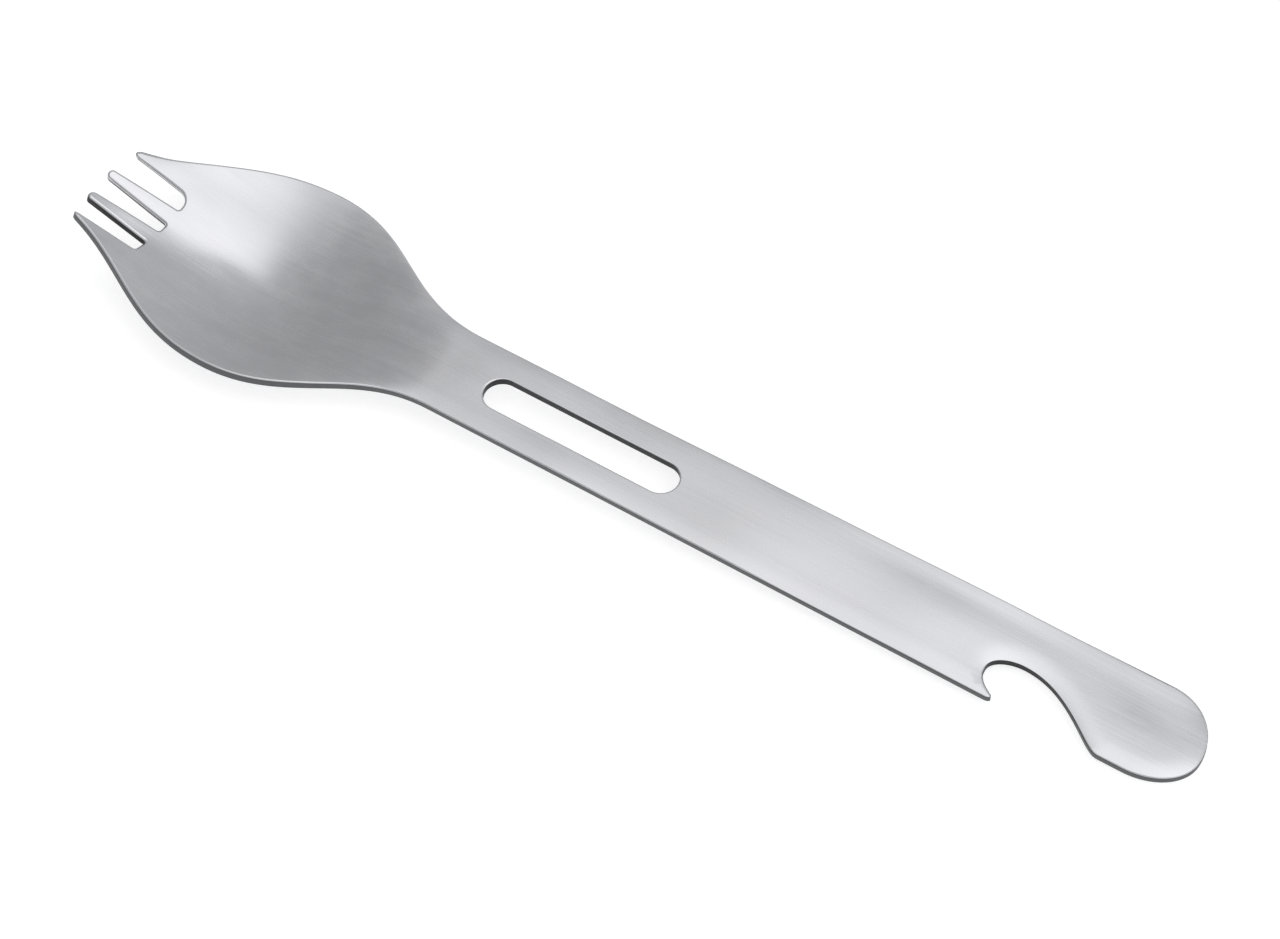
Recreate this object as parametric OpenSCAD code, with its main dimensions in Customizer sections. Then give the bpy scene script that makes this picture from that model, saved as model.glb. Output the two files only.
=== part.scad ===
// A spork pressed from one piece of sheet metal: a shallow bowl with four tines,
// a flat handle with a long slot, and a bottle opener cut into the near edge of
// the handle beside its round end. The sheet keeps one thickness all over and its
// cut edges stay square to it, as on a blank that is cut first and pressed after.
// The spork lies as it rests on a table: on the bottom of its bowl and on the
// round end of its handle. X runs along it, with the tines at the low end, and Z
// is up. The origin is below the middle of the whole spork, on the table.

/* [Sheet] */
// Thickness of the sheet
sheet_t = 1.2; // [0.8:0.1:2]

/* [Handle] */
// Length of the flat handle, from the neck to its round end
handle_len = 112.9; // [105:0.1:150]
// Width of the handle at the neck
neck_w = 13.2; // [11:0.1:16]
// Width of the handle at its round end
end_w = 14; // [11:0.1:18]
// Distance from the neck to where the handle begins to widen
taper_at = 25; // [5:1:50]
// How far the middle of the round end's width lies to the far side of the slot's middle
end_shift = 0.2; // [0:0.1:1]
// Length of the rounding of the handle's end
end_round_len = 8; // [5:0.1:10]
// How far the foremost point of the round end lies to the near side of the middle
end_skew = 1; // [0:0.1:2]

/* [Slot] */
// Length of the slot, over its round ends
slot_len = 30; // [15:0.5:60]
// Width of the slot
slot_w = 5; // [4:0.1:7]
// Distance from the neck to the near end of the slot
slot_at = 5; // [3:0.5:15]

/* [Bottle opener] */
// Distance from the round end to the end of the notch
lobe_len = 11.5; // [9:0.1:20]
// Length of the notch, from the back of its throat to its end
notch_len = 18.25; // [15:0.05:20]
// Depth of the notch, from the near edge of the handle to its arch
notch_depth = 6.55; // [5:0.05:8]
// Distance from the back of the throat to the top of the arch
arch_len = 4.35; // [3:0.05:6]
// Height of the back of the throat above the near edge
throat_h = 4.1; // [3:0.1:4.5]
// How far the hook reaches out beyond the back of the throat
hook_reach = 2.75; // [1.5:0.05:3.5]
// Height of the rounded point of the hook
hook_tip_h = 0.85; // [0.4:0.05:1.2]

/* [Bowl] */
// Length of the head, from the neck to the points of the inner tines
head_len = 58.9; // [55:0.1:75]
// Width of the bowl at its widest
bowl_w = 32.8; // [30:0.1:42]
// Distance from the neck to the widest place of the bowl
bowl_wide_at = 30; // [28:0.5:34]
// Depth of the bowl below the top of the handle
bowl_depth = 5; // [4.5:0.1:9]
// Distance from the neck to the deepest place of the bowl
bowl_deep_at = 31; // [24:0.5:32]
// How far the roots of the gaps lie below the top of the handle
root_drop = 1.9; // [1:0.1:3]
// Distance from the neck to where the bowl begins to sink
bowl_start = 2; // [0:0.5:5]
// How far the rim lies below the top of the handle, before it rises to the tines
rim_drop = 0.25; // [0:0.05:1]
// How far the rim rises from there to the points of the tines
rim_rise = 2.5; // [1:0.1:5]

/* [Tines] */
// Length of the inner tines, from the roots of the gaps to their points
tine_len = 10.5; // [8:0.1:14]
// Distance between the middle lines of neighbouring gaps
gap_pitch = 4.45; // [4.3:0.05:4.7]
// Width of the middle gap at its root
mid_gap_root_w = 1.6; // [1.2:0.05:2.2]
// Width of the middle gap at the points of the tines
mid_gap_tip_w = 2.95; // [2.4:0.05:3.2]
// Width of the two side gaps at their roots
side_gap_root_w = 2.15; // [2:0.05:2.6]
// Width of the two side gaps at the points of the tines
side_gap_tip_w = 3.2; // [2.6:0.05:3.4]
// Radius in the corners of the gaps' roots
gap_corner_r = 0.4; // [0.2:0.05:0.5]
// Radius of the outer corner of the far gap's root
far_corner_r = 1.3; // [0.4:0.1:1.4]
// Distance from the middle line to the outer edge of the outer tines at their points
tine_tip_half = 6.55; // [6.3:0.05:8]
// How much nearer to the neck the gaps' roots lie at the far rim than at the middle line
root_skew = 0.9; // [0:0.1:1.2]
// How far the outline's curve ends short of the points of the inner tines
outer_tine_short = 0.3; // [0:0.1:2]
// How much shorter than that curve the near outer tine is
near_tine_short = 0.5; // [0:0.1:2]
// How much shorter than that curve the far outer tine is
far_tine_short = 1.4; // [0:0.1:2]
// Length of the rounding at the points of the tines
tine_round_len = 0.7; // [0.4:0.1:1.2]

/* [Hidden] */
$fn = 64;

// How far a cut runs past the sheet on each side
overrun = 1;

// Reach of the curves of the head's outline, along the head
neck_ease = 13;
bowl_ease = 12.9;
tine_ease = 10.8;
// Sideways run of the outline over the last of these, at the points of the tines
tine_flare = 2.5;
// Part of the cross section's rise that is left as a slope at the rim
rim_slope_share = 0.45;
// Part of a quarter round's half width and length that its curve reaches out
round_share = 0.55;
end_round_share = 0.56;
// Places of the curve from the arch to the round end, as parts of its length
arch_reach_share = 0.49;
run_out_share = 0.84;
// Places of the hook's inner curve, as parts of its reach and of the throat's height
hook_in_share = 0.45;
hook_hollow_share = 0.45;
hook_bend_share = 0.31;

// Counts of rows and columns of the pressed surface, and of points on each curve
bowl_rows = 28;
outer_cols = 5;
inner_cols = 3;
tine_mid_rows = 5;
curve_points = 12;
corner_steps = 4;

neck_half = neck_w / 2;
end_half = end_w / 2;
bowl_half = bowl_w / 2;
end_round_at = handle_len - end_round_len;
near_end_y = end_shift - end_half;
far_end_y = end_shift + end_half;
root_at = head_len - tine_len;
outer_tip_at = head_len - outer_tine_short;
near_tip_at = outer_tip_at - near_tine_short;
far_tip_at = outer_tip_at - far_tine_short;
small_step = sheet_t / 100;

// Cubic curve between two points with two guide points
function curve_at(p, t) =
    pow(1 - t, 3) * p[0] + 3 * pow(1 - t, 2) * t * p[1] + 3 * (1 - t) * t * t * p[2] + t * t * t * p[3];
function curve(p) = [for (i = [1 : curve_points]) curve_at(p, i / curve_points)];
function ease(t) = t <= 0 ? 0 : t >= 1 ? 1 : (1 - cos(180 * t)) / 2;

// Outline of the head as two curves: neck to widest place, widest place to tines
neck_curve = [
    [0, neck_half],
    [neck_ease, neck_half],
    [bowl_wide_at - neck_ease, bowl_half],
    [bowl_wide_at, bowl_half]];
tine_curve = [
    [bowl_wide_at, bowl_half],
    [bowl_wide_at + bowl_ease, bowl_half],
    [outer_tip_at - tine_ease, tine_tip_half + tine_flare],
    [outer_tip_at, tine_tip_half]];

// Place along a curve where it has come to the distance u, found by halving
function place(p, u, lo = 0, hi = 1, steps = 24) =
    steps == 0 ? (lo + hi) / 2
    : curve_at(p, (lo + hi) / 2)[0] < u
        ? place(p, u, (lo + hi) / 2, hi, steps - 1)
        : place(p, u, lo, (lo + hi) / 2, steps - 1);
// Half width of the head at the distance u from the neck
function half_at(u) =
    u <= 0 ? neck_half
    : u < bowl_wide_at ? curve_at(neck_curve, place(neck_curve, u))[1]
    : curve_at(tine_curve, place(tine_curve, min(u, outer_tip_at)))[1];

// Height of the top surface on the middle line: flat, down into the bowl, up along
// a curve that is straight by the roots of the gaps, and straight on along the tines
root_rise = bowl_depth - root_drop;
function rise_by(t) = t < 1 ? (3 * t * t - t * t * t) / 2 : 1 + 3 / 2 * (t - 1);
function middle_z(u) =
    u <= bowl_deep_at ? -bowl_depth * ease((u - bowl_start) / (bowl_deep_at - bowl_start))
    : -bowl_depth + root_rise * rise_by((u - bowl_deep_at) / (root_at - bowl_deep_at));
// Height of the top surface at the rim
function rim_z(u) =
    -rim_drop * ease((u - bowl_start) / (bowl_deep_at - bowl_start) * 2)
    + rim_rise * pow(max(0, u - bowl_wide_at) / (head_len - bowl_wide_at), 2);
// Rise across the bowl, from the middle line to the rim
function across(s) = (2 - rim_slope_share) * s * s - (1 - rim_slope_share) * pow(s, 4);
function top_z(u, y) = middle_z(u) + (rim_z(u) - middle_z(u)) * across(y / half_at(u));

// Points of the top of the sheet and, a sheet's thickness below it, of its bottom
function top_point(p) = [-p[0], p[1], top_z(p[0], p[1])];
function sheet_normal(p) =
    let (
        along = (top_z(p[0] + small_step, p[1]) - top_z(p[0] - small_step, p[1])) / (2 * small_step),
        over = (top_z(p[0], p[1] + small_step) - top_z(p[0], p[1] - small_step)) / (2 * small_step),
        n = p[0] <= 0 ? [0, 0, 1] : [along, -over, 1])
    n / norm(n);
function bottom_point(p) = top_point(p) - sheet_t * sheet_normal(p);

// Half width of a gap, without its corners, at the distance u from the neck
function gap_half(root_w, tip_w, u) = (root_w + (tip_w - root_w) * (u - root_at) / tine_len) / 2;
function mid_gap_half(u) = gap_half(mid_gap_root_w, mid_gap_tip_w, u);
function side_gap_half(u) = gap_half(side_gap_root_w, side_gap_tip_w, u);
// What a root corner of radius r leaves standing at the distance u
function corner(r, u) = u - root_at >= r ? 0 : r - sqrt(r * r - pow(r - (u - root_at), 2));
// Edges of the gaps, on the near side and the far side of each
function mid_gap_edge(u) = mid_gap_half(u) - corner(gap_corner_r, u);
function side_gap_inner(u) = gap_pitch - side_gap_half(u) + corner(gap_corner_r, u);
function side_gap_outer(u, r) = gap_pitch + side_gap_half(u) - corner(r, u);

// How far the plan slides along the head at a share of the way out to the far rim: all of
// root_skew at the gaps' roots, and none at the deepest place or at the points of the tines
function slid(u, share) =
    u - root_skew * share * (
        u < root_at
            ? ease((u - bowl_deep_at) / (root_at - bowl_deep_at))
            : ease((far_tip_at - tine_round_len - u) / (far_tip_at - tine_round_len - root_at)));

// The tines from near to far: low edge, high edge and the distance of the point
tine_ends = [near_tip_at, head_len, head_len, far_tip_at];
tine_corners = [gap_corner_r, gap_corner_r, gap_corner_r, far_corner_r];
function tine_edges(k, u) =
    k == 0 ? [-half_at(slid(u, -1)), -side_gap_outer(u, gap_corner_r)]
    : k == 1 ? [-side_gap_inner(u), -mid_gap_edge(u)]
    : k == 2 ? [mid_gap_edge(u), side_gap_inner(u)]
    : [side_gap_outer(u, far_corner_r), half_at(slid(u, 1))];
// Share of the way out to the rim at which column j of tine k starts, below zero on the near side
function root_share(k, j) =
    let (
        e = tine_edges(k, root_at),
        rim = k < 2 ? -tine_edges(0, root_at)[0] : tine_edges(3, root_at)[1])
    (e[0] + (e[1] - e[0]) * j / tine_cols[k]) / rim;
// Rows of a tine: close together round its root corner and round its point
function tine_rows(k) =
    let (start = root_at + tine_corners[k], end = tine_ends[k] - tine_round_len)
    concat(
        [for (i = [0 : corner_steps - 1]) root_at + tine_corners[k] * (1 - cos(90 * i / corner_steps))],
        [for (i = [0 : tine_mid_rows]) start + (end - start) * i / tine_mid_rows],
        [for (i = [1 : corner_steps - 1]) end + tine_round_len * sin(90 * i / corner_steps)]);
// A row of a tine narrows to its rounded point
function tine_row(k, u) =
    let (
        e = tine_edges(k, u),
        past = max(0, u - (tine_ends[k] - tine_round_len)) / tine_round_len,
        mid = (e[0] + e[1]) / 2,
        half = (e[1] - e[0]) / 2 * sqrt(1 - past * past))
    [for (j = [0 : tine_cols[k]]) [slid(u, root_share(k, j)), mid + half * (2 * j / tine_cols[k] - 1)]];

// Columns of the bowl, which run on into the tines, with one column at each gap
tine_cols = [outer_cols, inner_cols, inner_cols, outer_cols];
first_col = [0, outer_cols + 1, outer_cols + inner_cols + 2, outer_cols + 2 * inner_cols + 3];
cols = first_col[3] + outer_cols;
root_row = [for (k = [0 : 3]) each tine_row(k, root_at)];
root_shares = [for (k = [0 : 3]) for (j = [0 : tine_cols[k]]) root_share(k, j)];
function bowl_row(u) = [for (j = [0 : cols])
    let (v = slid(u, root_shares[j]))
    [v, root_row[j][1] * half_at(v) / half_at(root_row[j][0])]];
bowl_us = [for (i = [0 : bowl_rows]) root_at * i / bowl_rows];

// Plan of all points, first the bowl's rows and then each tine's
rows_of_tine = [for (k = [0 : 3]) tine_rows(k)];
tine_points = [for (k = [0 : 3])
    [for (i = [1 : len(rows_of_tine[k]) - 1]) each tine_row(k, rows_of_tine[k][i])]];
plan = concat([for (u = bowl_us) each bowl_row(u)], [for (t = tine_points) each t]);
count = len(plan);
bowl_count = (bowl_rows + 1) * (cols + 1);
base_of_tine = [
    bowl_count,
    bowl_count + len(tine_points[0]),
    bowl_count + len(tine_points[0]) + len(tine_points[1]),
    bowl_count + len(tine_points[0]) + len(tine_points[1]) + len(tine_points[2])];
last_row = [for (r = rows_of_tine) len(r) - 1];
function at_bowl(i, j) = i * (cols + 1) + j;
function at_tine(k, i, j) =
    i == 0 ? at_bowl(bowl_rows, first_col[k] + j) : base_of_tine[k] + (i - 1) * (tine_cols[k] + 1) + j;

// Faces: each square of the grid on the top and on the bottom, as two triangles
function square(a, b, c, d) = [
    [a, d, c],
    [a, c, b],
    [a + count, b + count, c + count],
    [a + count, c + count, d + count]];
bowl_faces = [for (i = [0 : bowl_rows - 1]) for (j = [0 : cols - 1])
    each square(at_bowl(i, j), at_bowl(i, j + 1), at_bowl(i + 1, j + 1), at_bowl(i + 1, j))];
tine_faces = [for (k = [0 : 3]) for (i = [0 : last_row[k] - 1]) for (j = [0 : tine_cols[k] - 1])
    each square(at_tine(k, i, j), at_tine(k, i, j + 1), at_tine(k, i + 1, j + 1), at_tine(k, i + 1, j))];
// The edge of the sheet as one loop, and the wall along it
tine_loop = [for (n = [0 : 3]) let (k = 3 - n) each concat(
    [for (i = [0 : last_row[k] - 1]) at_tine(k, i, tine_cols[k])],
    [for (j = [0 : tine_cols[k] - 1]) at_tine(k, last_row[k], tine_cols[k] - j)],
    [for (i = [0 : last_row[k] - 1]) at_tine(k, last_row[k] - i, 0)],
    k > 0 ? [at_tine(k, 0, 0)] : [])];
edge_loop = concat(
    [for (j = [0 : cols - 1]) at_bowl(0, j)],
    [for (i = [0 : bowl_rows - 1]) at_bowl(i, cols)],
    tine_loop,
    [for (i = [0 : bowl_rows - 1]) at_bowl(bowl_rows - i, 0)]);
edge_faces = [for (i = [0 : len(edge_loop) - 1])
    let (a = edge_loop[i], b = edge_loop[(i + 1) % len(edge_loop)])
    each [[a, b, b + count], [a, b + count, a + count]]];

// Outline of the handle, from the neck along its near edge and back
notch_end = handle_len - lobe_len;
notch_at = notch_end - notch_len;
near_notch_y = -neck_half + (near_end_y + neck_half) * (notch_at - taper_at) / (end_round_at - taper_at);
arch_y = near_notch_y + notch_depth;
throat_y = near_notch_y + throat_h;
hook_y = near_notch_y + hook_tip_h;
arch_x = notch_at + arch_len;
hook_x = notch_at + hook_reach;
arch_run = notch_end - arch_x;
hook_curve = [
    [hook_x - hook_tip_h, near_notch_y],
    [hook_x, near_notch_y],
    [hook_x + hook_tip_h * (1 - round_share), hook_y - hook_tip_h * (1 - round_share)],
    [hook_x - hook_tip_h * (1 - round_share), hook_y]];
hollow_curve = [
    hook_curve[3],
    [notch_at + hook_reach * hook_in_share, hook_y + throat_h * (1 - hook_hollow_share) * hook_bend_share],
    [notch_at, throat_y - throat_h * hook_hollow_share],
    [notch_at, throat_y]];
throat_curve = [
    hollow_curve[3],
    [notch_at, throat_y + (arch_y - throat_y) * round_share],
    [arch_x - arch_len * round_share, arch_y],
    [arch_x, arch_y]];
run_out_curve = [
    throat_curve[3],
    [arch_x + arch_run * arch_reach_share, arch_y],
    [arch_x + arch_run * run_out_share, near_end_y],
    [notch_end, near_end_y]];
near_end_curve = [
    [end_round_at, near_end_y],
    [end_round_at + end_round_len * end_round_share, near_end_y],
    [handle_len, -end_skew + (near_end_y + end_skew) * end_round_share],
    [handle_len, -end_skew]];
far_end_curve = [
    near_end_curve[3],
    [handle_len, -end_skew + (far_end_y + end_skew) * end_round_share],
    [end_round_at + end_round_len * end_round_share, far_end_y],
    [end_round_at, far_end_y]];
handle_outline = concat(
    [[0, -neck_half], [taper_at, -neck_half], hook_curve[0]],
    curve(hook_curve),
    curve(hollow_curve),
    curve(throat_curve),
    curve(run_out_curve),
    [near_end_curve[0]],
    curve(near_end_curve),
    curve(far_end_curve),
    [[taper_at, neck_half], [0, neck_half]]);

// The tilt that brings both the bowl and the round end down to the table
rest_tilt = max([for (u = bowl_us) atan2(-middle_z(u), u + handle_len)]);
bowl_low = min([for (u = bowl_us) let (b = bottom_point([u, 0])) b[2] * cos(rest_tilt) - b[0] * sin(rest_tilt)]);
head_reach = bottom_point([head_len, gap_pitch / 2]);
low_x = head_reach[0] * cos(rest_tilt) + head_reach[2] * sin(rest_tilt);
high_x = handle_len * cos(rest_tilt);

module slot_cut() {
    r = slot_w / 2;
    h = sheet_t + 2 * overrun;
    translate([slot_at + r, 0, -sheet_t - overrun]) cylinder(r = r, h = h);
    translate([slot_at + slot_len - r, 0, -sheet_t - overrun]) cylinder(r = r, h = h);
    translate([slot_at + r, -r, -sheet_t - overrun]) cube([slot_len - slot_w, slot_w, h]);
}

module handle_plate() {
    difference() {
        translate([0, 0, -sheet_t]) linear_extrude(height = sheet_t) polygon(handle_outline);
        slot_cut();
    }
}

module head_plate() {
    polyhedron(
        points = concat([for (p = plan) top_point(p)], [for (p = plan) bottom_point(p)]),
        faces = concat(bowl_faces, tine_faces, edge_faces),
        convexity = 6);
}

module spork() {
    color("silver")
    translate([-(low_x + high_x) / 2, 0, -bowl_low])
    rotate([0, rest_tilt, 0]) {
        handle_plate();
        head_plate();
    }
}

spork();
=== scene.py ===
import math

import bmesh
import bpy
import numpy as np
from mathutils import Matrix, Vector
from mathutils.geometry import delaunay_2d_cdt


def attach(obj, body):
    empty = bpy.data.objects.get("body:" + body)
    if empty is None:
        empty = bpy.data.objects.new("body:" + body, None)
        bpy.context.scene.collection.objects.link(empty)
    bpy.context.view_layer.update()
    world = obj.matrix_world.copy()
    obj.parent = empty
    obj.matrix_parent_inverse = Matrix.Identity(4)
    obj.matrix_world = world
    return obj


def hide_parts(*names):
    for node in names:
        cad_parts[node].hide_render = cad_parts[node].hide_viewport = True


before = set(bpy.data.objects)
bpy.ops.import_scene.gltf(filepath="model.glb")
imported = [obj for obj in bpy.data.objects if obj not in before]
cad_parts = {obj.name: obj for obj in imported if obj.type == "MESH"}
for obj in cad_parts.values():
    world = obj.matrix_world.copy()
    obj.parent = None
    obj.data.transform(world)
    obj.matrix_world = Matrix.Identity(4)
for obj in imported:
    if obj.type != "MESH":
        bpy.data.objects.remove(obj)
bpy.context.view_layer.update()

MM = 0.001

# The spork's sizes in millimetres, as in the part's source. The plan has the neck at x = 0, the tines at
# its low end, the far side at high y. Distances from the neck into the head are called u.
SHEET_T = 1.2

# Handle and slot
HANDLE_LEN = 112.9
NECK_W = 13.2
END_W = 14.0
TAPER_AT = 25.0
END_SHIFT = 0.2
END_ROUND_LEN = 8.0
END_SKEW = 1.0
SLOT_LEN = 30.0
SLOT_W = 5.0
SLOT_AT = 5.0

# Bottle opener
LOBE_LEN = 11.5
NOTCH_LEN = 18.25
NOTCH_DEPTH = 6.55
ARCH_LEN = 4.35
THROAT_H = 4.1
HOOK_REACH = 2.75
HOOK_TIP_H = 0.85

# Bowl
HEAD_LEN = 58.9
BOWL_W = 32.8
BOWL_WIDE_AT = 30.0
BOWL_DEPTH = 5.0
BOWL_DEEP_AT = 31.0
BOWL_START = 2.0
ROOT_DROP = 1.9
RIM_DROP = 0.25
RIM_RISE = 2.5

# Tines and their gaps: a gap's width is at its root and at its mouth
TINE_LEN = 10.5
GAP_PITCH = 4.45
MID_GAP_W = (1.6, 2.95)
SIDE_GAP_W = (2.15, 3.2)
GAP_CORNER_R = 0.4
FAR_CORNER_R = 1.3
ROOT_SKEW = 0.9
TINE_TIP_HALF = 6.55
OUTER_TINE_SHORT = 0.3
NEAR_TINE_SHORT = 0.5
FAR_TINE_SHORT = 1.4
TINE_ROUND_LEN = 0.7

# How far the head's edge runs on smoothly at the neck, the widest place and the tips, and its flare there
NECK_EASE = 13.0
BOWL_EASE = 12.9
TINE_EASE = 10.8
TINE_FLARE = 2.5

# Shares that shape the curves
RIM_SLOPE_SHARE = 0.45
RIM_DROPPED_SHARE = 0.5
ROUND_SHARE = 0.55
END_ROUND_SHARE = 0.56
ARCH_REACH_SHARE = 0.49
RUN_OUT_SHARE = 0.84
HOOK_IN_SHARE = 0.45
HOOK_HOLLOW_SHARE = 0.45
HOOK_BEND_SHARE = 0.31

ROOT_AT = HEAD_LEN - TINE_LEN
OUTER_TIP_AT = HEAD_LEN - OUTER_TINE_SHORT
NEAR_TIP_AT = OUTER_TIP_AT - NEAR_TINE_SHORT
FAR_TIP_AT = OUTER_TIP_AT - FAR_TINE_SHORT
NECK_HALF = NECK_W / 2
BOWL_HALF = BOWL_W / 2

# The four tines are counted from the near side
NEAR_TINE = 0
FAR_TINE = 3
TIPS_AT = [NEAR_TIP_AT, HEAD_LEN, HEAD_LEN, FAR_TIP_AT]

# Radius of the edge's rounding on top: plain, punched, and on the tines
EDGE_R = 0.28
PUNCH_EDGE_R = 0.13
TINE_EDGE_R = 0.4
# The underside's rounding as a share of the top's: the die leaves it sharper
UNDER_SHARE = 0.55
# The most that a rounding takes of what fits in the sheet, and how fast it grows again along the edge
TIGHT_SHARE = 0.8
EDGE_R_GROWTH = 0.5
# Tilt from the face at which the rounding turns from polished to cut, and the same on the far tines, where
# it comes so late that their walls keep the polished colour and show lighter, as painted light
CUT_FROM = math.radians(58)
FAR_CUT_FROM = math.radians(88)
# How far inside the plain envelope an edge lies where it counts as fully punched, and its wall gets the
# full painted shade of a punched one
PUNCH_REACH = 5.0

# Soft fall of the top face towards the blank's edge: its width on the handle and on the bowl, and its
# slope at the near edge, at the near edge past the places where it grows, and at the far edge
ROLL_W = 3.4
BOWL_ROLL_W = 1.2
ROLL_SLOPE = 0.12
END_ROLL_SLOPE = 0.24
FAR_ROLL_SLOPE = 0.05
ROLL_GROWS = (45.0, 85.0)
# A faint hollow that the polishing left by the far edge of the round end: place, spread and depth
HOLLOW_AT = (103.5, 5.2)
HOLLOW_SPREAD = (6.0, 3.6)
HOLLOW_DEPTH = 0.22
# Places where the face leans a little after pressing: place, spread and slopes along and across the spork
LEANS = [
    ((74.0, -1.0), (20.0, 9.0), (0.0, 0.026)),
    ((74.0, 6.5), (13.0, 1.8), (0.0, 0.07)),
    ((104.0, 1.5), (8.0, 6.0), (0.005, -0.008)),
    ((18.0, -4.0), (12.0, 3.5), (0.007, 0.0)),
    ((-3.0, 0.0), (4.0, 7.0), (0.018, 0.0)),
    ((-7.0, 6.0), (3.0, 2.5), (0.045, 0.0)),
    ((-7.0, -6.0), (3.0, 2.5), (0.03, 0.0)),
    ((-12.5, 9.2), (4.0, 2.2), (0.03, 0.0)),
    ((-12.5, -9.2), (4.0, 2.2), (0.03, 0.0)),
    ((-31.0, 1.0), (3.5, 4.0), (0.025, 0.0)),
    ((-35.0, 3.0), (4.5, 8.0), (0.025, -0.006)),
    ((-36.5, 1.5), (5.5, 3.5), (0.0, -0.12)),
    ((-52.0, 8.5), (5.0, 3.5), (0.06, 0.06)),
    ((-54.3, 7.5), (3.0, 2.0), (0.07, -0.2)),
    ((-53.0, 2.6), (4.5, 2.0), (0.0, 0.06)),
    ((-53.5, -2.6), (4.5, 1.8), (-0.02, 0.16))]
# Faint waves that the polishing left in the top face: length, heading in degrees, start and slope of each
WAVES = [
    (31.0, 12.0, 0.6, 0.010),
    (19.0, -35.0, 2.1, 0.008),
    (23.0, 74.0, 4.0, 0.008),
    (12.0, 28.0, 1.3, 0.006)]

# How finely things are made: steps round an edge, length of a step along it, steps in a small arc, and
# the spacing of the points on the faces and how near to the edge they come, as a share of it
EDGE_STEPS = 6
EDGE_STEP = 0.55
ARC_STEPS = 14
GRID = 0.7
GRID_CLEAR_SHARE = 0.62
# How finely curves are followed before they are divided evenly, and the middle line to find how it rests
RIM_SAMPLES = 2001
CURVE_SAMPLES = 400
REST_SAMPLES = 401
# Step over which a slope is taken, and the most that a mitred corner stretches an offset
SLOPE_STEP = SHEET_T / 100
MITRE_LIMIT = 2.0
# Lengths that count as none: between two points, ahead of an edge, and between points that are joined
NO_LENGTH = 1e-6
NOT_AHEAD = 1e-9
JOIN_GAP = 1e-5


def bezier(points, t):
    """The point at t on a cubic curve; t may be an array."""
    t = np.asarray(t, float)[..., None]
    a, b, c, d = (np.asarray(p, float) for p in points)
    return (1 - t) ** 3 * a + 3 * (1 - t) ** 2 * t * b + 3 * (1 - t) * t * t * c + t ** 3 * d


NECK_CURVE = [
    (0, NECK_HALF),
    (NECK_EASE, NECK_HALF),
    (BOWL_WIDE_AT - NECK_EASE, BOWL_HALF),
    (BOWL_WIDE_AT, BOWL_HALF)]
TINE_CURVE = [
    (BOWL_WIDE_AT, BOWL_HALF),
    (BOWL_WIDE_AT + BOWL_EASE, BOWL_HALF),
    (OUTER_TIP_AT - TINE_EASE, TINE_TIP_HALF + TINE_FLARE),
    (OUTER_TIP_AT, TINE_TIP_HALF)]
SAMPLES = np.linspace(0, 1, RIM_SAMPLES)
HALVES = np.vstack([bezier(NECK_CURVE, SAMPLES), bezier(TINE_CURVE, SAMPLES)[1:]])


def half_at(u):
    """Half width of the head at the distance u from the neck."""
    return np.interp(u, HALVES[:, 0], HALVES[:, 1])


def ease(t):
    """Rises smoothly from 0 to 1 as t does."""
    return (1 - np.cos(np.pi * np.clip(t, 0, 1))) / 2


def middle_z(u):
    """Height of the top surface on the middle line: down to the deepest place, then up to the tips."""
    u = np.asarray(u, float)
    t = (u - BOWL_DEEP_AT) / (ROOT_AT - BOWL_DEEP_AT)
    # past the roots the line goes straight on, at the slope that the curve before them ends with
    rise = np.where(t < 1, (3 * t * t - t ** 3) / 2, 1 + 3 / 2 * (t - 1))
    down = -BOWL_DEPTH * ease((u - BOWL_START) / (BOWL_DEEP_AT - BOWL_START))
    return np.where(u <= BOWL_DEEP_AT, down, -BOWL_DEPTH + (BOWL_DEPTH - ROOT_DROP) * rise)


def rim_z(u):
    """Height of the top surface at the rim."""
    drop = RIM_DROP * ease((u - BOWL_START) / (BOWL_DEEP_AT - BOWL_START) / RIM_DROPPED_SHARE)
    past = np.maximum(0, u - BOWL_WIDE_AT) / (HEAD_LEN - BOWL_WIDE_AT)
    return RIM_RISE * past ** 2 - drop


def top_z(x, y):
    """Height of the top surface over the plan point (x, y)."""
    u = np.maximum(0, -np.asarray(x, float))
    s = np.asarray(y, float) / half_at(u)
    # from 0 on the middle line to 1 at the rim, where a share of a parabola's slope is left
    across = (2 - RIM_SLOPE_SHARE) * s ** 2 - (1 - RIM_SLOPE_SHARE) * s ** 4
    m = middle_z(u)
    return np.where(np.asarray(x) < 0, m + (rim_z(u) - m) * across, 0.0)


def slopes(x, y):
    """Slopes of the top surface along and across the spork, over plan points."""
    h = SLOPE_STEP
    along = (top_z(x + h, y) - top_z(x - h, y)) / (2 * h)
    over = (top_z(x, y + h) - top_z(x, y - h)) / (2 * h)
    return np.stack([along, over], -1)


def normal_of(slope):
    """Unit normal of a surface with the given slopes."""
    n = np.concatenate([-slope, np.ones((len(slope), 1))], 1)
    return n / np.linalg.norm(n, axis=1, keepdims=True)


def sheet_normal(x, y):
    """Unit normal of the pressed surface over plan points."""
    return normal_of(slopes(x, y))


def sheet_point(plan, depth):
    """The point a given depth below the top surface, along its normal, over plan points."""
    x, y = plan[:, 0], plan[:, 1]
    top = np.stack([x, y, top_z(x, y)], -1)
    return top - np.reshape(depth, (-1, 1)) * sheet_normal(x, y)


def nearest(points, loop):
    """Distance from each point to the nearest place of a closed loop, and the unit way from it."""
    best = np.full(len(points), np.inf)
    way = np.zeros((len(points), 2))
    for a, b in zip(loop, np.roll(loop, -1, 0)):
        share = np.clip((points - a) @ (b - a) / ((b - a) @ (b - a)), 0, 1)
        gap = points - a - share[:, None] * (b - a)
        far = (gap ** 2).sum(1)
        closer = far < best
        best = np.where(closer, far, best)
        way[closer] = gap[closer]
    best = np.sqrt(best)
    return best, way / np.maximum(best, NO_LENGTH)[:, None]


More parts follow.
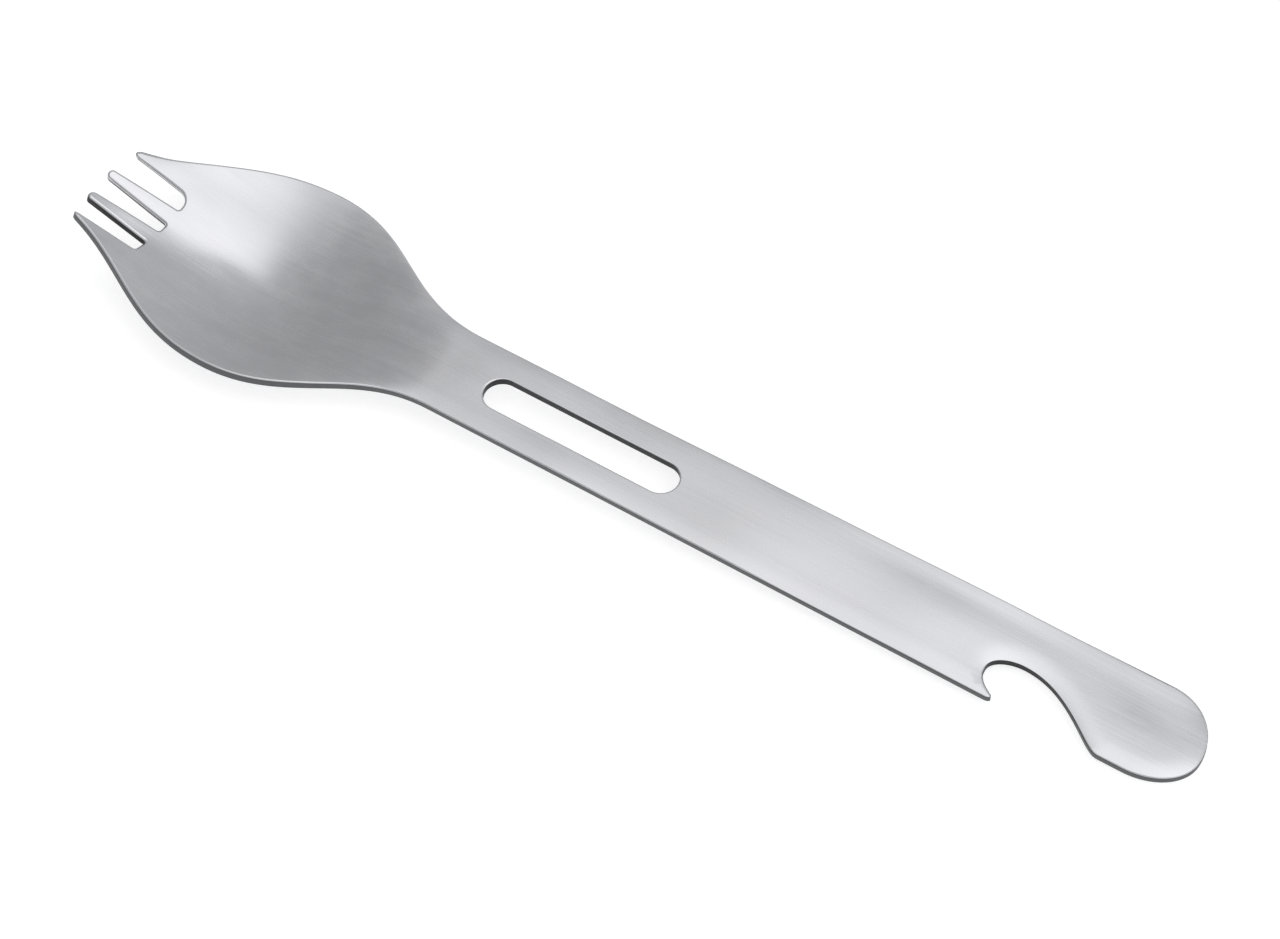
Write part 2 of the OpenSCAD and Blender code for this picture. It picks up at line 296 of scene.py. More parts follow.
def finish_of_face(plan, blank):
    """How far the polished top face lies below the pressed one, and the slopes that this adds."""
    # the soft fall towards the blank's edge, which fades out on the way to the tines
    away, way = nearest(plan, blank)
    u = -plan[:, 0]
    handle = 1 - ease(u / BOWL_DEEP_AT)
    width = BOWL_ROLL_W + (ROLL_W - BOWL_ROLL_W) * handle
    fade = 1 - ease((u - BOWL_DEEP_AT) / (ROOT_AT - BOWL_DEEP_AT))
    grown = ease((plan[:, 0] - ROLL_GROWS[0]) / (ROLL_GROWS[1] - ROLL_GROWS[0]))
    near_slope = ROLL_SLOPE + (END_ROLL_SLOPE - ROLL_SLOPE) * grown
    slope = fade * (FAR_ROLL_SLOPE + (near_slope - FAR_ROLL_SLOPE) * (1 + way[:, 1]) / 2)
    left = np.clip(1 - away / width, 0, 1)
    fall = slope * width / 3 * left ** 3
    added = (slope * left ** 2)[:, None] * way
    # the hollow by the round end
    off = (plan - HOLLOW_AT) / HOLLOW_SPREAD
    hollow = HOLLOW_DEPTH * np.exp(-(off ** 2).sum(1) / 2)
    fall = fall + hollow
    added = added + hollow[:, None] * off / HOLLOW_SPREAD
    # the leans, each about its own place
    for place, spread, lean in LEANS:
        off = (plan - place) / spread
        share = np.exp(-(off ** 2).sum(1) / 2)
        rise = (plan - place) @ lean
        fall = fall - share * rise
        added = added + share[:, None] * (lean - rise[:, None] * off / spread)
    # the waves, which fade out as the fall does
    for length, heading, start, steep in WAVES:
        k = 2 * math.pi / length
        d = np.array([math.cos(math.radians(heading)), math.sin(math.radians(heading))])
        phase = plan @ d * k + start
        fall = fall + fade * steep / k * np.cos(phase)
        added = added + np.outer(fade * steep * np.sin(phase), d)
    return fall, added


def run(a, b):
    """Even steps from a to b, without a."""
    a, b = np.array(a, float), np.array(b, float)
    n = max(1, round(float(np.hypot(*(b - a))) / EDGE_STEP))
    return a + (b - a) * (np.arange(1, n + 1) / n)[:, None]


def curve(points):
    """Even steps along a cubic curve, without its first point."""
    fine = bezier(points, np.linspace(0, 1, CURVE_SAMPLES))
    s = np.r_[0, np.cumsum(np.hypot(*np.diff(fine, axis=0).T))]
    n = max(ARC_STEPS, round(float(s[-1]) / EDGE_STEP))
    q = np.linspace(0, s[-1], n + 1)[1:]
    return np.c_[np.interp(q, s, fine[:, 0]), np.interp(q, s, fine[:, 1])]


def handle_outline():
    """The handle's edge from the neck's near corner round to its far corner."""
    end_half = END_W / 2
    round_at = HANDLE_LEN - END_ROUND_LEN
    near_y, far_y = END_SHIFT - end_half, END_SHIFT + end_half
    notch_end = HANDLE_LEN - LOBE_LEN
    throat_x = notch_end - NOTCH_LEN
    edge_y = -NECK_HALF + (near_y + NECK_HALF) * (throat_x - TAPER_AT) / (round_at - TAPER_AT)
    arch = (throat_x + ARCH_LEN, edge_y + NOTCH_DEPTH)
    throat = (throat_x, edge_y + THROAT_H)
    tip_y = edge_y + HOOK_TIP_H
    tip_x = throat_x + HOOK_REACH
    back = HOOK_TIP_H * (1 - ROUND_SHARE)
    bend_y = tip_y + THROAT_H * (1 - HOOK_HOLLOW_SHARE) * HOOK_BEND_SHARE
    run_len = notch_end - arch[0]
    reach = END_ROUND_LEN * END_ROUND_SHARE
    hook = [
        (tip_x - HOOK_TIP_H, edge_y),
        (tip_x, edge_y),
        (tip_x + back, tip_y - back),
        (tip_x - back, tip_y)]
    hollow = [
        hook[3],
        (throat_x + HOOK_REACH * HOOK_IN_SHARE, bend_y),
        (throat_x, throat[1] - THROAT_H * HOOK_HOLLOW_SHARE),
        throat]
    arch_curve = [
        throat,
        (throat_x, throat[1] + (arch[1] - throat[1]) * ROUND_SHARE),
        (arch[0] - ARCH_LEN * ROUND_SHARE, arch[1]),
        arch]
    run_out = [
        arch,
        (arch[0] + run_len * ARCH_REACH_SHARE, arch[1]),
        (arch[0] + run_len * RUN_OUT_SHARE, near_y),
        (notch_end, near_y)]
    foremost = (HANDLE_LEN, -END_SKEW)
    near_end = [
        (round_at, near_y),
        (round_at + reach, near_y),
        (HANDLE_LEN, -END_SKEW + (near_y + END_SKEW) * END_ROUND_SHARE),
        foremost]
    far_end = [
        foremost,
        (HANDLE_LEN, -END_SKEW + (far_y + END_SKEW) * END_ROUND_SHARE),
        (round_at + reach, far_y),
        (round_at, far_y)]
    return np.vstack([
        run((0, -NECK_HALF), (TAPER_AT, -NECK_HALF)),
        run((TAPER_AT, -NECK_HALF), hook[0]),
        curve(hook),
        curve(hollow),
        curve(arch_curve),
        curve(run_out),
        run(run_out[3], near_end[0]),
        curve(near_end),
        curve(far_end),
        run(far_end[3], (TAPER_AT, NECK_HALF)),
        run((TAPER_AT, NECK_HALF), (0, NECK_HALF))])


def gap_edge(width, u):
    """Half width of a gap at the distance u, before its root corners."""
    return (width[0] + (width[1] - width[0]) * (u - ROOT_AT) / TINE_LEN) / 2


def corner(r, u):
    """What a root corner of radius r leaves standing at the distance u."""
    in_corner = np.clip(r - (u - ROOT_AT), 0, r)
    return r - np.sqrt(r * r - in_corner ** 2)


def slid(u, share):
    """Where the plan at the distance u has slid to, at a share of the way out to the far rim."""
    round_at = FAR_TIP_AT - TINE_ROUND_LEN
    before = (u - BOWL_DEEP_AT) / (ROOT_AT - BOWL_DEEP_AT)
    after = (round_at - u) / (round_at - ROOT_AT)
    return u - ROOT_SKEW * share * ease(np.minimum(before, after))


def tine_edges(k, u):
    """Near and far edge of tine k at the distance u."""
    middle = gap_edge(MID_GAP_W, u) - corner(GAP_CORNER_R, u)
    inner = GAP_PITCH - gap_edge(SIDE_GAP_W, u) + corner(GAP_CORNER_R, u)
    outer = GAP_PITCH + gap_edge(SIDE_GAP_W, u)
    edges = [
        (-half_at(slid(u, -1)), -outer + corner(GAP_CORNER_R, u)),
        (-inner, -middle),
        (middle, inner),
        (outer - corner(FAR_CORNER_R, u), half_at(slid(u, 1)))]
    return edges[k]


def tine_loop(k):
    """Tine k's edge from its far root to its near root, round its point."""
    end = TIPS_AT[k]
    start = end - TINE_ROUND_LEN
    # an outer tine has no root corner on its outer side, where its edge is the rim
    far_r = 0 if k == FAR_TINE else GAP_CORNER_R
    near_r = 0 if k == NEAR_TINE else FAR_CORNER_R if k == FAR_TINE else GAP_CORNER_R
    turn = np.linspace(0, np.pi / 2, ARC_STEPS + 1)
    far_half = k >= len(TIPS_AT) // 2
    rim = tine_edges(FAR_TINE, ROOT_AT)[1] if far_half else -tine_edges(NEAR_TINE, ROOT_AT)[0]

    def side(r, pick):
        """One side of the tine from its root to where its point begins."""
        arc = ROOT_AT + r * (1 - np.cos(turn)) if r else np.array([ROOT_AT])
        n = round((start - ROOT_AT - r) / EDGE_STEP)
        u = np.r_[arc, np.linspace(ROOT_AT + r, start, n + 1)[1:]]
        share = tine_edges(k, ROOT_AT)[pick] / rim
        return np.c_[-slid(u, share), tine_edges(k, u)[pick]]

    u = start + TINE_ROUND_LEN * np.sin(turn[1:])
    low, high = tine_edges(k, u)
    mid, half = (low + high) / 2, (high - low) / 2 * np.cos(turn[1:])
    far_tip = np.c_[-u, mid + half]
    near_tip = np.c_[-u, mid - half][:-1]
    return np.vstack([side(far_r, 1), far_tip, near_tip[::-1], side(near_r, 0)[::-1]])


def rim_side(end):
    """The bowl's rim from the neck to just before the distance end."""
    us = np.linspace(0, end, round(end / EDGE_STEP) + 1)[1:-1]
    return np.c_[-us, half_at(us)]


def outline():
    """The whole edge of the blank, counter-clockwise seen from above."""
    loops = [handle_outline(), rim_side(slid(ROOT_AT, 1))]
    for k in range(FAR_TINE, NEAR_TINE - 1, -1):
        loops.append(tine_loop(k))
        if k > NEAR_TINE:
            loops.append(run(loops[-1][-1], tine_loop(k - 1)[0])[:-1])
    near_side = rim_side(slid(ROOT_AT, -1))[::-1] * [1, -1]
    return np.vstack(loops + [near_side, [(0.0, -NECK_HALF)]])


def slot_outline():
    """The slot's edge, clockwise seen from above."""
    r = SLOT_W / 2
    a = np.linspace(np.pi / 2, -np.pi / 2, 2 * ARC_STEPS + 1)
    right = np.c_[SLOT_AT + SLOT_LEN - r + r * np.cos(a), r * np.sin(a)]
    left = np.c_[SLOT_AT + r - r * np.cos(a), -r * np.sin(a)]
    return np.vstack([right, run(right[-1], left[0])[:-1], left, run(left[-1], right[0])[:-1]])


def inward(loop):
    """Unit direction into the sheet at each point of a loop, and how far a unit offset moves it."""
    before = loop - np.roll(loop, 1, 0)
    after = np.roll(loop, -1, 0) - loop
    before /= np.linalg.norm(before, axis=1)[:, None]
    after /= np.linalg.norm(after, axis=1)[:, None]
    t = before + after
    t /= np.linalg.norm(t, axis=1)[:, None]
    n = np.c_[-t[:, 1], t[:, 0]]
    stretch = 1 / np.clip((t * after).sum(1), 1 / MITRE_LIMIT, 1)
    return n, stretch


def far_tines(loop):
    """1 on the far side of the head, 0 on its near side and on the handle."""
    return np.where(loop[:, 0] < 0, ease((loop[:, 1] + MID_GAP_W[1]) / GAP_PITCH), 0)


def punch_and_shade_share(loop):
    """Share of punching and of painted shade at each point of a loop: 0 on the spork's plain envelope and
    on the far tines, 1 well inside it.
    """
    x, y = loop[:, 0], loop[:, 1]
    round_at = HANDLE_LEN - END_ROUND_LEN
    # the envelope is the bowl's rim, and the handle's sides with neither slot nor notch; the end's shift
    # moves these, so an edge counts as inside them only past that shift
    half = NECK_HALF + (END_W / 2 - NECK_HALF) * np.clip((x - TAPER_AT) / (round_at - TAPER_AT), 0, 1)
    on_handle = np.where(x < HANDLE_LEN - LOBE_LEN, half + END_SHIFT - np.abs(y), 0)
    inset = np.where(x < 0, half_at(-x) - np.abs(y), on_handle)
    # the far tines get no painted shade on their walls, so they show lighter
    return ease((inset - 2 * END_SHIFT) / PUNCH_REACH) * (1 - far_tines(loop))


def edge_rounding(loop, n):
    """Radius of the rounding at each point: smaller where the sheet is narrow or turns tightly."""
    # the radius of the circle that touches the edge at one point and passes through another
    gap = loop[None] - loop[:, None]
    ahead = (gap * n[:, None]).sum(2)
    circle = (gap ** 2).sum(2) / np.maximum(2 * ahead, NOT_AHEAD)
    fits = np.where(ahead > NOT_AHEAD, circle, SHEET_T).min(1)
    tines = ease((-loop[:, 0] - BOWL_DEEP_AT) / (ROOT_AT - BOWL_DEEP_AT))
    crisp = punch_and_shade_share(loop) * (1 - tines) * ease(n[:, 1])
    wanted = EDGE_R + (TINE_EDGE_R - EDGE_R) * tines + (PUNCH_EDGE_R - EDGE_R) * crisp
    limit = np.minimum(wanted, TIGHT_SHARE * fits)
    lengths = np.linalg.norm(np.roll(loop, -1, 0) - loop, axis=1)
    place = np.r_[0, np.cumsum(lengths)[:-1]]
    away = np.abs(place[:, None] - place)
    away = np.minimum(away, lengths.sum() - away)
    return (limit + away * EDGE_R_GROWTH).min(1)


def inside(points, loop):
    """True for each point that lies inside a closed loop."""
    a, b = loop, np.roll(loop, -1, 0)
    found = np.zeros(len(points), bool)
    for (ax, ay), (bx, by) in zip(a, b):
        if ay == by:
            continue
        cross = ((ay > points[:, 1]) != (by > points[:, 1]))
        cross &= points[:, 0] < (bx - ax) * (points[:, 1] - ay) / (by - ay) + ax
        found ^= cross
    return found


def between(points, outer, hole):
    """True for each point that lies inside the loop outer and outside the loop hole."""
    return inside(points, outer) & ~inside(points, hole)


def placing():
    """The turn and shift that take the sheet, with its neck at the origin, to where the spork rests."""
    us = np.linspace(0, ROOT_AT, REST_SAMPLES)
    tilt = np.arctan2(-middle_z(us), us + HANDLE_LEN).max()
    c, s = math.cos(tilt), math.sin(tilt)
    turn = np.array([[c, 0, s], [0, 1, 0], [-s, 0, c]])
    low = (sheet_point(np.c_[-us, 0 * us], SHEET_T) @ turn.T)[:, 2].min()
    tip = sheet_point(np.array([[-HEAD_LEN, GAP_PITCH / 2]]), SHEET_T)[0] @ turn.T
    return turn, np.array([-(tip[0] + HANDLE_LEN * c) / 2, 0, -low])


TURN, SHIFT = placing()


class Skin:
    """The spork's mesh while it is made, with its points still in the frame of the sheet."""

    def __init__(self):
        self.points = []
        self.normals = []
        self.shares = []
        self.faces = []
        self.kinds = []
        self.count = 0

    def add_points(self, points, normals, shares):
        """Adds points with their normals and shares of punching and painted shade, and returns their
        numbers.
        """
        self.points.append(points)
        self.normals.append(normals)
        self.shares.append(shares)
        numbers = np.arange(self.count, self.count + len(points))
        self.count += len(points)
        return numbers

    def add_faces(self, faces, cut):
        """Adds faces, and whether each is cut rather than polished."""
        self.faces += faces.tolist()
        self.kinds += cut.astype(int).tolist()


def edge_profile(r):
    """Steps round an edge of radius r: distance from the edge, depth below the top, normal's tilt."""
    angles = np.linspace(0, np.pi / 2, EDGE_STEPS + 1)
    top = [(r * (1 - math.sin(a)), r * (1 - math.cos(a)), a) for a in angles]
    wall = (0 * r, 0 * r + SHEET_T / 2, math.pi / 2)
    under = [(d * UNDER_SHARE, SHEET_T - h * UNDER_SHARE, math.pi - a) for d, h, a in reversed(top)]
    return [*top, wall, *under]


def add_edge(skin, loop, blank):
    """Adds the edge along a loop, and returns its rings on both faces and the plan of the upper one."""
    n, stretch = inward(loop)
    r = edge_rounding(loop, n)
    middle = sheet_point(loop, np.full(len(loop), SHEET_T / 2))
    along = np.roll(middle, -1, 0) - np.roll(middle, 1, 0)
    out = np.cross(along, sheet_normal(loop[:, 0], loop[:, 1]))
    out /= np.linalg.norm(out, axis=1)[:, None]
    # the share of punching also sets how much painted shade the cut walls get
    share = punch_and_shade_share(loop)
    steps = edge_profile(r)
    rings = []
    for d, h, a in steps:
        plan = loop + n * (stretch * d)[:, None]
        slope = slopes(plan[:, 0], plan[:, 1])
        fall = 0.0
        if a < math.pi / 2:
            fall, added = finish_of_face(plan, blank)
            slope = slope + added
        points = sheet_point(plan, h + fall * (1 - h / SHEET_T))
        normals = normal_of(slope) * math.cos(a) + out * math.sin(a)
        rings.append(skin.add_points(points, normals, share))
    # on the far tines the dark cut colour is kept off the rounding almost to the wall: painted light
    cut_from = CUT_FROM + (FAR_CUT_FROM - CUT_FROM) * far_tines(loop)
    for k in range(len(steps) - 1):
        a, b = rings[k], rings[k + 1]
        tilt = (steps[k][2] + steps[k + 1][2]) / 2
        quads = np.c_[a, b, np.roll(b, -1), np.roll(a, -1)]
        skin.add_faces(quads, (cut_from < tilt) & (tilt < math.pi - cut_from))
    return (rings[0], rings[-1]), loop + n * (stretch * r)[:, None]


def face_grid(outer, hole):
    """Plan points of the faces, a little clear of their borders."""
    xs = np.arange(-HEAD_LEN, HANDLE_LEN, GRID)
    ys = (np.arange(0, BOWL_HALF, GRID)[:, None] * [1, -1]).ravel()[1:]
    grid = np.stack(np.meshgrid(xs, ys), -1).reshape(-1, 2)
    grid = grid[between(grid, outer, hole)]
    away = np.minimum(nearest(grid, outer)[0], nearest(grid, hole)[0])
    return grid[away > GRID * GRID_CLEAR_SHARE]


def face_triangles(outer, hole, grid):
    """Triangles over both borders and the grid, counter-clockwise seen from above."""
    plan = np.vstack([outer, hole, grid])
    links, base = [], 0
    for border in (outer, hole):
        m = len(border)
        links += [(base + i, base + (i + 1) % m) for i in range(m)]
        base += m
    points = [Vector(p) for p in plan]
    _, _, found, sources, _, _ = delaunay_2d_cdt(points, links, [], 0, JOIN_GAP, True)
    tris = np.array([[sources[i][0] for i in t] for t in found])
    tris = tris[between(plan[tris].mean(1), outer, hole)]
    p, q, r = plan[tris[:, 0]], plan[tris[:, 1]], plan[tris[:, 2]]
    area = (q[:, 0] - p[:, 0]) * (r[:, 1] - p[:, 1]) - (q[:, 1] - p[:, 1]) * (r[:, 0] - p[:, 0])
    tris[area < 0] = tris[area < 0][:, ::-1]
    return tris


def build_spork():
    """The spork as one mesh: polished faces in its first material, cut edges in its second."""
    skin = Skin()
    blank = outline()
    blank_rings, outer = add_edge(skin, blank, blank)
    slot_rings, hole = add_edge(skin, slot_outline(), blank)
    grid = face_grid(outer, hole)
    tris = face_triangles(outer, hole, grid)
    fall, added = finish_of_face(grid, blank)
    slope = slopes(grid[:, 0], grid[:, 1])
    thick = np.full(len(grid), SHEET_T)
    no_punch_or_shade = np.zeros(len(grid))
    top = skin.add_points(sheet_point(grid, fall), normal_of(slope + added), no_punch_or_shade)
    under = skin.add_points(sheet_point(grid, thick), -normal_of(slope), no_punch_or_shade)
    polished = np.zeros(len(tris))
    skin.add_faces(np.r_[blank_rings[0], slot_rings[0], top][tris], polished)
    skin.add_faces(np.r_[blank_rings[1], slot_rings[1], under][tris[:, ::-1]], polished)

    points = (np.vstack(skin.points) @ TURN.T + SHIFT) * MM
    normals = np.vstack(skin.normals) @ TURN.T
    mesh = bpy.data.meshes.new("spork_sheet")
    mesh.from_pydata(points.tolist(), [], skin.faces)
    mesh.polygons.foreach_set("material_index", skin.kinds)
    mesh.polygons.foreach_set("use_smooth", [True] * len(skin.faces))
    mesh.update()
    mesh.normals_split_custom_set_from_vertices(normals.tolist())
    # the share of punching, which the cut edges' material reads for its painted shade
    shares = mesh.attributes.new("punch_and_shade_share", "FLOAT", "POINT")
    shares.data.foreach_set("value", np.concatenate(skin.shares))
    obj = bpy.data.objects.new("spork_sheet", mesh)
    bpy.context.scene.collection.objects.link(obj)
    return obj


# Numbers of a mix node's sockets when it mixes colours
MIX_FACTOR = 0
MIX_FIRST = 6
MIX_SECOND = 7
MIX_RESULT = 2
# The range of a noise's values that is used
NOISE_LOW = 0.3
NOISE_HIGH = 0.7

# Each noise in the steel: how it is drawn out along the axes, its scale and its detail
STREAKS = ((70, 2400, 700), 1, 3)
BANDS = ((30, 520, 160), 1, 3)
CLOUDS = ((1, 1.5, 1), 260, 4)
TINT = ((1, 1.4, 1), 90, 2)
TEAR = ((900, 900, 120), 1, 3)

# Satin faces: two tints, what each noise adds to the shade and the roughness, the bump's strength and
# its depth in metres
SATIN_COOL = (0.600, 0.607, 0.627, 1)
SATIN_WARM = (0.626, 0.621, 0.638, 1)
STREAK_SHADES = (-0.018, 0.018)
BAND_SHADES = (-0.025, 0.025)
CLOUD_SHADES = (0.975, 1.025)
STREAK_ROUGH = (0.11, 0.15)
CLOUD_ROUGH = (0.11, 0.16)
SATIN_BUMP = (0.22, 0.00002)

# Cut edges: the tears' two shades where the steel was sheared, dull steel darkened further as painted
# shade, and where it was punched, darker still as painted shade; and the same for their roughness
# dull cut steel, darkened further as painted shade of the walls
SHEARED_AND_SHADE_COLOURS = ((0.09, 0.091, 0.095, 1), (0.14, 0.141, 0.147, 1))
PUNCHED_PAINTED_SHADE = ((0.03, 0.03, 0.032, 1), (0.06, 0.06, 0.063, 1))
CUT_ROUGH = (0.36, 0.5)
CUT_BUMP = (0.25, 0.00005)
CUT_SPECULAR = 0.1
# How much of its metal look a fully punched edge loses, as painted shade that darkens it further
METAL_LOST_SHARE = 0.9


def new_material(name):
    """A material with nodes, its tree and its shader."""
    mat = bpy.data.materials.new(name)
    mat.use_nodes = True
    tree = mat.node_tree
    return mat, tree, tree.nodes["Principled BSDF"]


def add(tree, kind, **values):
    """A new node with some of its properties set."""
    node = tree.nodes.new(kind)
    for key, value in values.items():
        setattr(node, key, value)
    return node


def give(tree, place, value):
    """Links a socket to an input, or writes a number or colour on it."""
    if isinstance(value, bpy.types.NodeSocket):
        tree.links.new(value, place)
    else:
        place.default_value = value


def noise(tree, coords, stretch, scale, detail):
    """Noise over the object's own coordinates, drawn out by stretch."""
    mapping = add(tree, "ShaderNodeMapping")
    mapping.inputs["Scale"].default_value = stretch
    tree.links.new(coords.outputs["Object"], mapping.inputs["Vector"])
    tex = add(tree, "ShaderNodeTexNoise")
    tex.inputs["Scale"].default_value = scale
    tex.inputs["Detail"].default_value = detail
    tree.links.new(mapping.outputs["Vector"], tex.inputs["Vector"])
    return tex.outputs["Fac"]


def span(tree, value, low, high, from_low=NOISE_LOW, from_high=NOISE_HIGH):
    """Maps the used range of a noise, or another range, to low to high."""
    node = add(tree, "ShaderNodeMapRange")
    node.inputs["From Min"].default_value = from_low
    node.inputs["From Max"].default_value = from_high
    node.inputs["To Min"].default_value = low
    node.inputs["To Max"].default_value = high
    tree.links.new(value, node.inputs["Value"])
    return node.outputs["Result"]


def mix(tree, factor, first, second, kind="MIX"):
    """A colour made of two, each of them a socket or a colour."""
    node = add(tree, "ShaderNodeMix", data_type="RGBA", blend_type=kind)
    give(tree, node.inputs[MIX_FACTOR], factor)
    give(tree, node.inputs[MIX_FIRST], first)
    give(tree, node.inputs[MIX_SECOND], second)
    return node.outputs[MIX_RESULT]


def maths(tree, operation, first, second):
    """A math node over two values, each a socket or a number."""
    node = add(tree, "ShaderNodeMath", operation=operation)
    give(tree, node.inputs[0], first)
    give(tree, node.inputs[1], second)
    return node.outputs[0]


def bump(tree, shader, height, strength, distance):
    """Roughens the shader's surface by a height."""
    node = add(tree, "ShaderNodeBump")
    node.inputs["Strength"].default_value = strength
    node.inputs["Distance"].default_value = distance
    tree.links.new(height, node.inputs["Height"])
    tree.links.new(node.outputs["Normal"], shader.inputs["Normal"])


def satin_steel():
    """Brushed along the handle: fine streaks, fainter broad ones, and clouds of uneven polishing."""
    mat, tree, shader = new_material("satin_steel")
    coords = add(tree, "ShaderNodeTexCoord")
    streaks = noise(tree, coords, *STREAKS)
    bands = noise(tree, coords, *BANDS)
    clouds = noise(tree, coords, *CLOUDS)
    tint = noise(tree, coords, *TINT)
    level = maths(tree, "ADD", span(tree, streaks, *STREAK_SHADES), span(tree, bands, *BAND_SHADES))
    level = maths(tree, "ADD", level, span(tree, clouds, *CLOUD_SHADES))
    shade = mix(tree, 1, mix(tree, tint, SATIN_COOL, SATIN_WARM), level, "MULTIPLY")
    tree.links.new(shade, shader.inputs["Base Color"])
    shader.inputs["Metallic"].default_value = 1
    rough = maths(tree, "ADD", span(tree, streaks, *STREAK_ROUGH), span(tree, clouds, *CLOUD_ROUGH))
    tree.links.new(rough, shader.inputs["Roughness"])
    bump(tree, shader, maths(tree, "ADD", streaks, bands), *SATIN_BUMP)
    return mat


def cut_steel_and_shade():
    """The sheared edge: duller than the faces and darkened as painted shade, and nearly black with painted
    shade where it was punched.
    """
    mat, tree, shader = new_material("cut_steel_and_shade")
    coords = add(tree, "ShaderNodeTexCoord")
    tear = noise(tree, coords, *TEAR)
    share = add(tree, "ShaderNodeAttribute", attribute_name="punch_and_shade_share").outputs["Fac"]
    sheared_and_shaded = mix(tree, tear, *SHEARED_AND_SHADE_COLOURS)
    punched_painted_shade = mix(tree, tear, *PUNCHED_PAINTED_SHADE)
    # walls inside the outline get a darker colour and less metal look: painted shade
    tree.links.new(mix(tree, share, sheared_and_shaded, punched_painted_shade), shader.inputs["Base Color"])
    lost = maths(tree, "MULTIPLY", share, METAL_LOST_SHARE)
    tree.links.new(maths(tree, "SUBTRACT", 1.0, lost), shader.inputs["Metallic"])
    tree.links.new(span(tree, tear, *CUT_ROUGH), shader.inputs["Roughness"])
    shader.inputs["Specular IOR Level"].default_value = CUT_SPECULAR
    bump(tree, shader, tear, *CUT_BUMP)
    return mat


# The floor in metres, its grey, and what it glows with for the rays that should see it white
FLOOR_RADIUS = 6.0
FLOOR_SEGMENTS = 96
FLOOR_GREY = (0.6, 0.6, 0.6, 1)
FLOOR_GLOW = (1, 1, 1, 1)
FLOOR_GLOW_STRENGTH = 0.6


def floor_material():
    """Plain pale grey that shows white to the camera and in the metal, and keeps the spork's shadow."""
    mat, tree, shader = new_material("floor_white")
    shader.inputs["Base Color"].default_value = FLOOR_GREY
    shader.inputs["Roughness"].default_value = 1
    shader.inputs["Specular IOR Level"].default_value = 0
    shader.inputs["Emission Color"].default_value = FLOOR_GLOW
    rays = add(tree, "ShaderNodeLightPath").outputs
    seen = maths(tree, "MAXIMUM", rays["Is Camera Ray"], rays["Is Glossy Ray"])
    seen = maths(tree, "MAXIMUM", seen, rays["Is Transmission Ray"])
    glow = maths(tree, "MULTIPLY", seen, FLOOR_GLOW_STRENGTH)
    tree.links.new(glow, shader.inputs["Emission Strength"])
    return mat


def build_floor():
    """A round floor that the spork lies on."""
    mesh = bpy.data.meshes.new("floor")
    bm = bmesh.new()
    bmesh.ops.create_circle(bm, cap_ends=True, segments=FLOOR_SEGMENTS, radius=FLOOR_RADIUS)
    bm.to_mesh(mesh)
    bm.free()
    mesh.materials.append(floor_material())
    obj = bpy.data.objects.new("floor", mesh)
    bpy.context.scene.collection.objects.link(obj)


# The light is a level softbox with a soft left edge and a brighter middle, in a pale room that is brighter
# on the right. The softbox is made of lamps one above the other, in metres: two corners of each, and what
# a mirror would show of it
LAMPS = [
    ((-0.465, -0.35), (1.1, 0.575), 0.273),
    ((-0.37, -0.35), (1.1, 0.575), 0.273),
    ((-0.275, -0.35), (1.1, 0.575), 0.18),
    ((-0.12, 0.08), (0.3, 0.5), 0.09)]
BOX_HEIGHT = 0.9
BOX_GAP = 0.02
ROOM_COLOUR = (0.98, 0.985, 1.0, 1)
ROOM_LEFT = 0.37
ROOM_RIGHT = 0.96


def build_softbox():
    """The lamps, lying level above the spork."""
    for k, (low, high, radiance) in enumerate(LAMPS):
        width, depth = high[0] - low[0], high[1] - low[1]
        data = bpy.data.lights.new("softbox_%d" % k, "AREA")
        data.shape = "RECTANGLE"
        data.size = width
        data.size_y = depth
        data.energy = radiance * math.pi * width * depth
        obj = bpy.data.objects.new("softbox_%d" % k, data)
        obj.location = ((low[0] + high[0]) / 2, (low[1] + high[1]) / 2, BOX_HEIGHT + BOX_GAP * k)
        bpy.context.scene.collection.objects.link(obj)


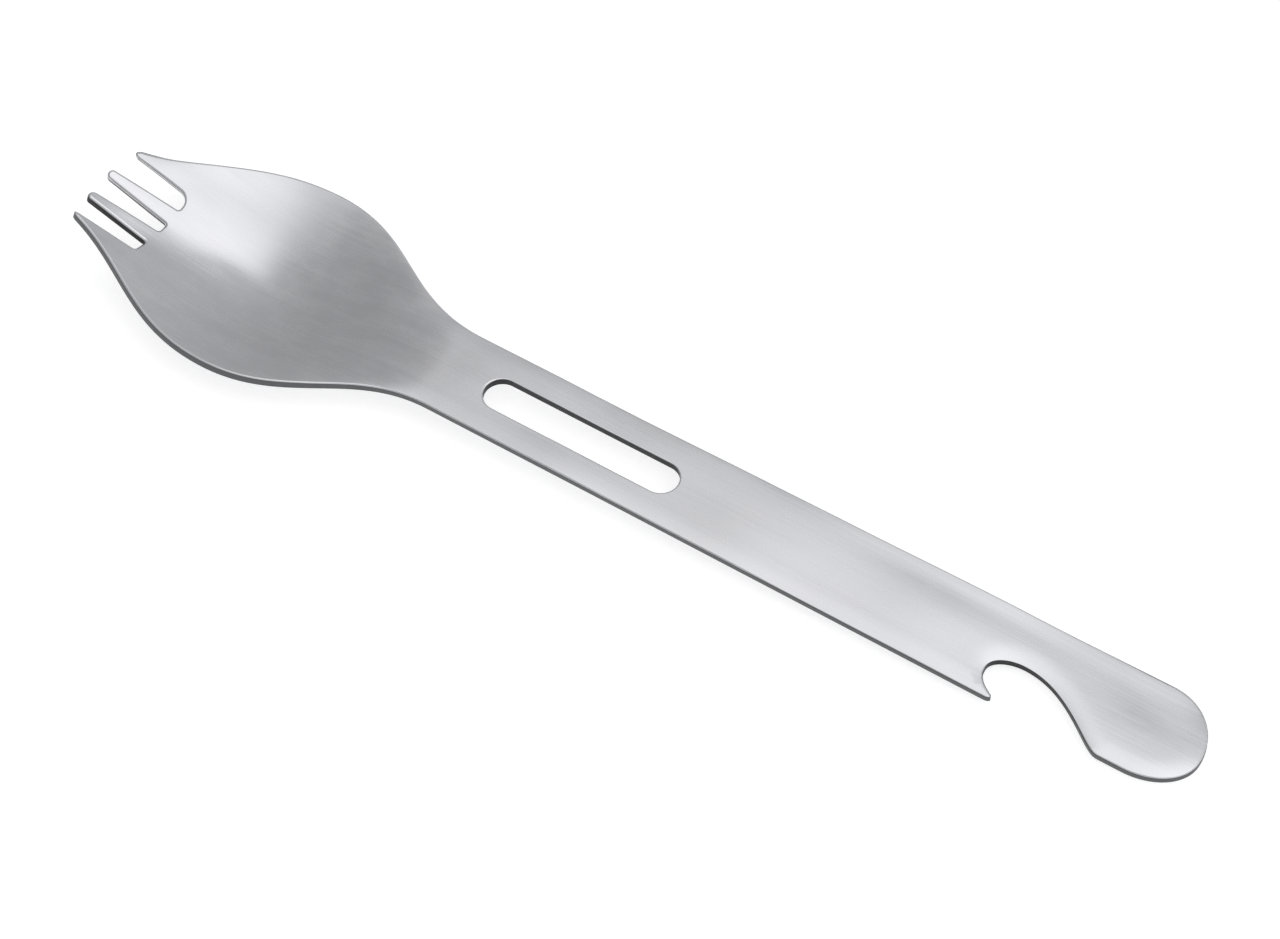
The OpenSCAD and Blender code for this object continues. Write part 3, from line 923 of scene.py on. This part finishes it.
def build_room():
    """The pale room all round, as the world's light."""
    world = bpy.data.worlds.new("studio")
    bpy.context.scene.world = world
    world.use_nodes = True
    tree = world.node_tree
    back = tree.nodes["Background"]
    coords = add(tree, "ShaderNodeTexCoord")
    split = add(tree, "ShaderNodeSeparateXYZ")
    tree.links.new(coords.outputs["Generated"], split.inputs[0])
    level = span(tree, split.outputs["X"], ROOM_LEFT, ROOM_RIGHT, from_low=-1, from_high=1)
    tree.links.new(level, back.inputs["Strength"])
    back.inputs["Color"].default_value = ROOM_COLOUR


# The photograph's camera, found from the slot and the handle's edges: its place in millimetres with the
# neck at the origin, its turns, and its focal length in pixels of the photograph
CAMERA_AT = (221.189, -277.982, 481.566)
CAMERA_AZIMUTH = math.radians(34.625)
CAMERA_ELEVATION = math.radians(55.0)
CAMERA_ROLL = math.radians(-2.176)
FOCAL_PIXELS = 4500.0
PHOTO_WIDTH = 1280.0
SENSOR = 36.0
# The nearest and farthest that it sees, in metres
NEAR_CLIP = 0.02
FAR_CLIP = 50


def build_camera():
    """The camera, turned and moved with the sheet to where the spork rests."""
    a, e = CAMERA_AZIMUTH, CAMERA_ELEVATION
    back = Vector((math.sin(a) * math.cos(e), -math.cos(a) * math.cos(e), math.sin(e)))
    level_right = Vector((math.cos(a), math.sin(a), 0))
    level_up = back.cross(level_right)
    right = level_right * math.cos(CAMERA_ROLL) + level_up * math.sin(CAMERA_ROLL)
    up = level_up * math.cos(CAMERA_ROLL) - level_right * math.sin(CAMERA_ROLL)
    turn = Matrix(TURN.tolist())
    at = (turn @ Vector(CAMERA_AT) + Vector(SHIFT)) * MM
    axes = Matrix((turn @ right, turn @ up, turn @ back)).transposed()
    data = bpy.data.cameras.new("camera")
    data.sensor_fit = "HORIZONTAL"
    data.sensor_width = SENSOR
    data.lens = FOCAL_PIXELS / PHOTO_WIDTH * SENSOR
    data.clip_start = NEAR_CLIP
    data.clip_end = FAR_CLIP
    obj = bpy.data.objects.new("camera", data)
    obj.matrix_world = Matrix.Translation(at) @ axes.to_4x4()
    bpy.context.scene.collection.objects.link(obj)
    bpy.context.scene.camera = obj


spork = build_spork()
spork.data.materials.append(satin_steel())
spork.data.materials.append(cut_steel_and_shade())
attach(spork, "root")
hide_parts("spork")

build_floor()
build_room()
build_camera()
build_softbox()

bpy.context.scene.view_settings.view_transform = "Standard"
